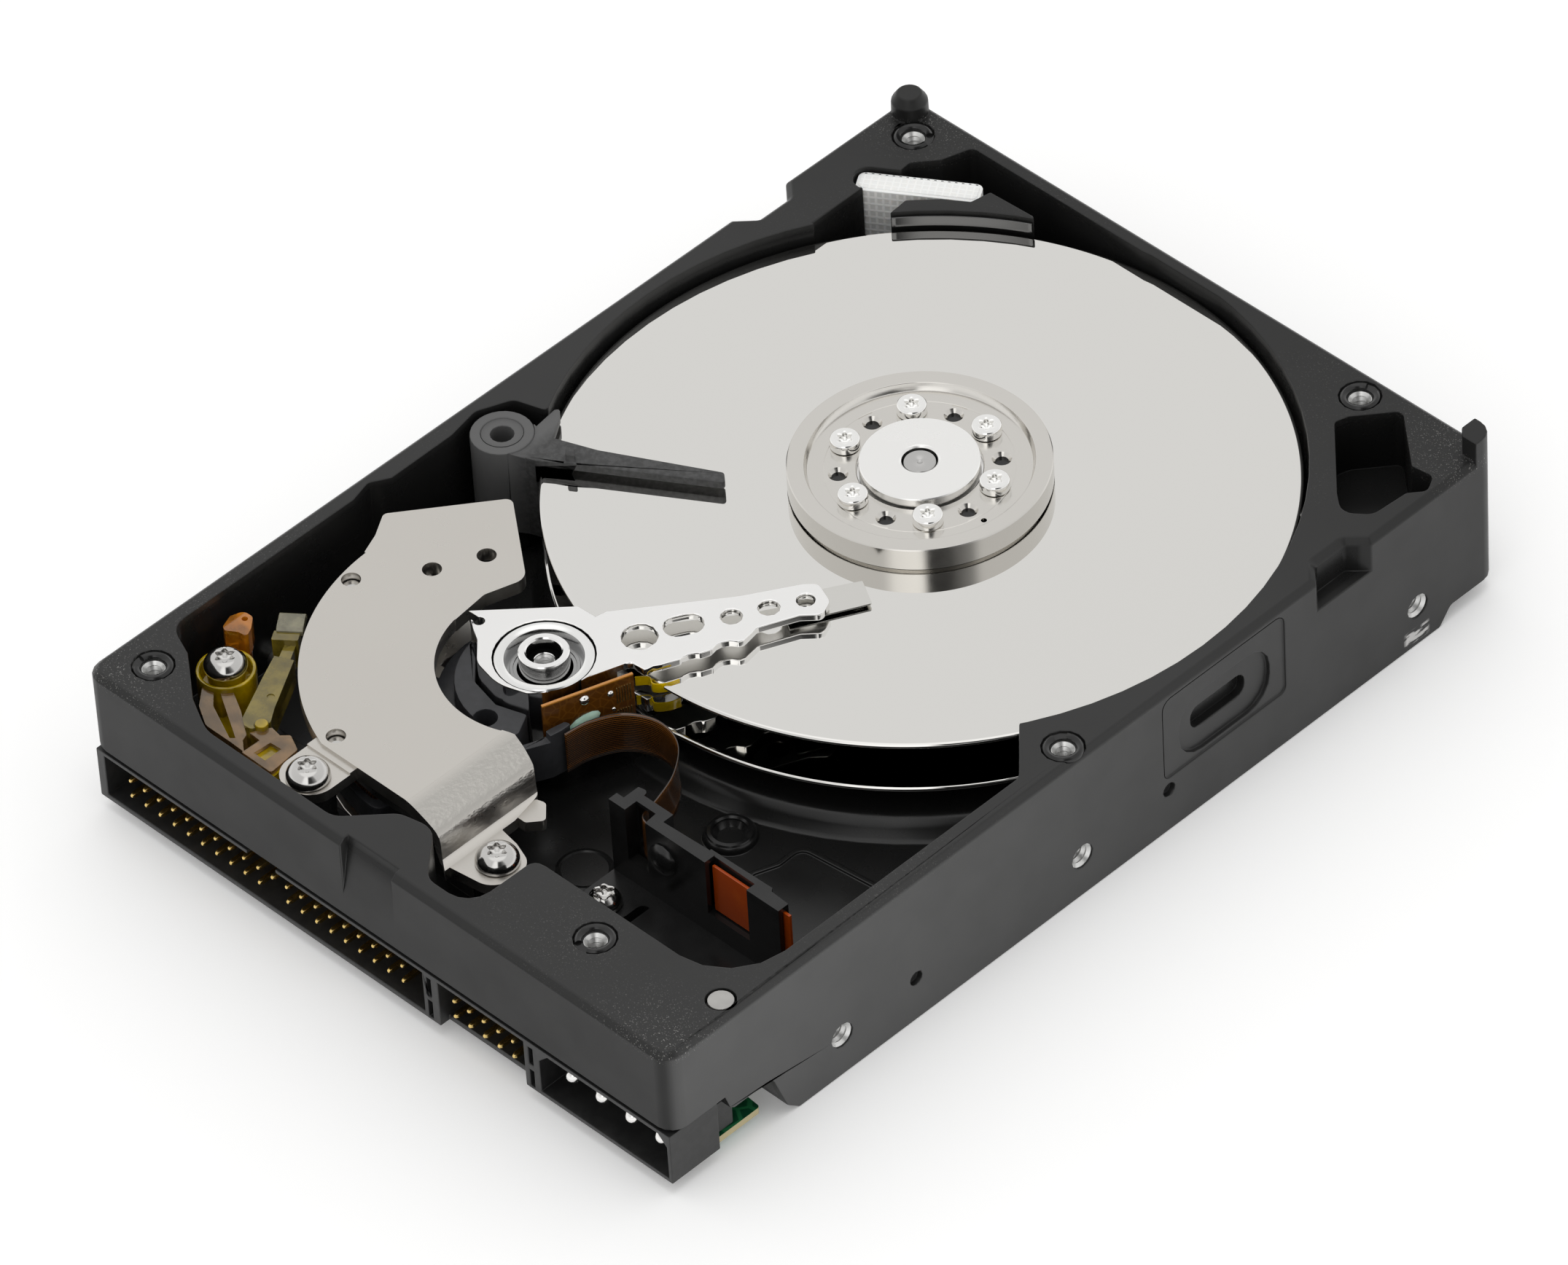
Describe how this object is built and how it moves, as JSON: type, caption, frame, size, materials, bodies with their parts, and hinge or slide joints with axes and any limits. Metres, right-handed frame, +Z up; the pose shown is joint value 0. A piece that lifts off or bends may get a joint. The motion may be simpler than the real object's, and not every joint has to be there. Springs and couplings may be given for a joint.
{
  "type": "hard disk drive",
  "caption": "Open hard disk drive: cast base, spinning mirror discs with a clamp, a swinging head actuator under a bent magnet plate, a parking latch and a rear edge connector block.",
  "frame": {"origin": "middle of the footprint, at the height of the undersides of the two side rails", "axes": "+Z up out of the open side, +Y from the connector end towards the far end along the length, +X to the right across the width seen from the connector end"},
  "size_m": [0.1016, 0.1446, 0.0261],
  "materials": {
    "casting": "satin black coat on die-cast aluminium",
    "steel": "bright nickel plate",
    "disc_mirror": "mirror",
    "aluminium": "machined",
    "magnet": "nickel plate",
    "copper": "enamelled wire",
    "black_plastic": "moulded",
    "grey_plastic": "glass-filled, mottled",
    "amber_plastic": "clear amber",
    "orange_rubber": "soft",
    "polyimide": "thin amber film",
    "filter_fabric": "pleated white felt",
    "green_board": "solder mask on glass fibre",
    "green_resin": "mint underfill",
    "gold": "gold flash"
  },
  "bodies": {
    "base": {"base_casting": "casting", "locating_plug": "aluminium", "spindle_stator": "copper", "spindle_shaft": "steel", "yoke_lower_plate": "steel", "yoke_upper_plate": "steel", "magnet_lower": "magnet", "magnet_upper": "magnet", "yoke_post": "steel", "yoke_screw_front": "steel", "yoke_screw_side": "steel", "pivot_shaft": "steel", "flex_ribbon": "polyimide", "flex_bracket": "black_plastic", "flex_tail": "polyimide", "bracket_screw": "steel", "latch_base": "amber_plastic", "latch_bumper": "orange_rubber", "latch_screw": "steel", "disc_comb": "grey_plastic", "comb_screw": "steel", "air_filter": "filter_fabric", "connector_block": "black_plastic", "ide_pins": "gold", "jumper_pins": "gold", "power_pin_1": "steel", "power_pin_2": "steel", "power_pin_3": "steel", "power_pin_4": "steel", "circuit_board": "green_board", "controller_chip": "black_plastic", "board_screw_1": "steel", "board_screw_2": "steel", "board_screw_3": "steel"},
    "rotor": {"rotor_magnet": "magnet", "hub": "aluminium", "hub_cap": "steel", "platter_lower": "disc_mirror", "platter_upper": "disc_mirror", "spacer_ring": "aluminium", "disc_clamp": "steel", "clamp_screw_1": "steel", "clamp_screw_2": "steel", "clamp_screw_3": "steel", "clamp_screw_4": "steel", "clamp_screw_5": "steel", "clamp_screw_6": "steel"},
    "actuator": {"carriage": "aluminium", "pivot_sleeve": "steel", "coil": "copper", "coil_frame": "grey_plastic", "head_1": "steel", "head_2": "steel", "head_3": "steel", "head_4": "steel", "preamp_board": "polyimide", "preamp_chip": "green_resin", "flex_clamp": "grey_plastic"},
    "latch": {"latch_lever": "amber_plastic"}
  },
  "joints": [
    {"name": "spindle_spin", "type": "hinge", "parent": "base", "child": "rotor", "pos_m": [0, 0.0223, 0], "axis": [0, 0, 1], "continuous": true},
    {"name": "actuator_swing", "type": "hinge", "parent": "base", "child": "actuator", "pos_m": [-0.0106, -0.0326, 0], "axis": [0, 0, 1], "range_deg": [-28, 0], "deforming": ["flex_ribbon"]},
    {"name": "latch_turn", "type": "hinge", "parent": "base", "child": "latch", "pos_m": [-0.0312, -0.0612, 0], "axis": [0, 0, 1], "range_deg": [-6, 0]}
  ]
}
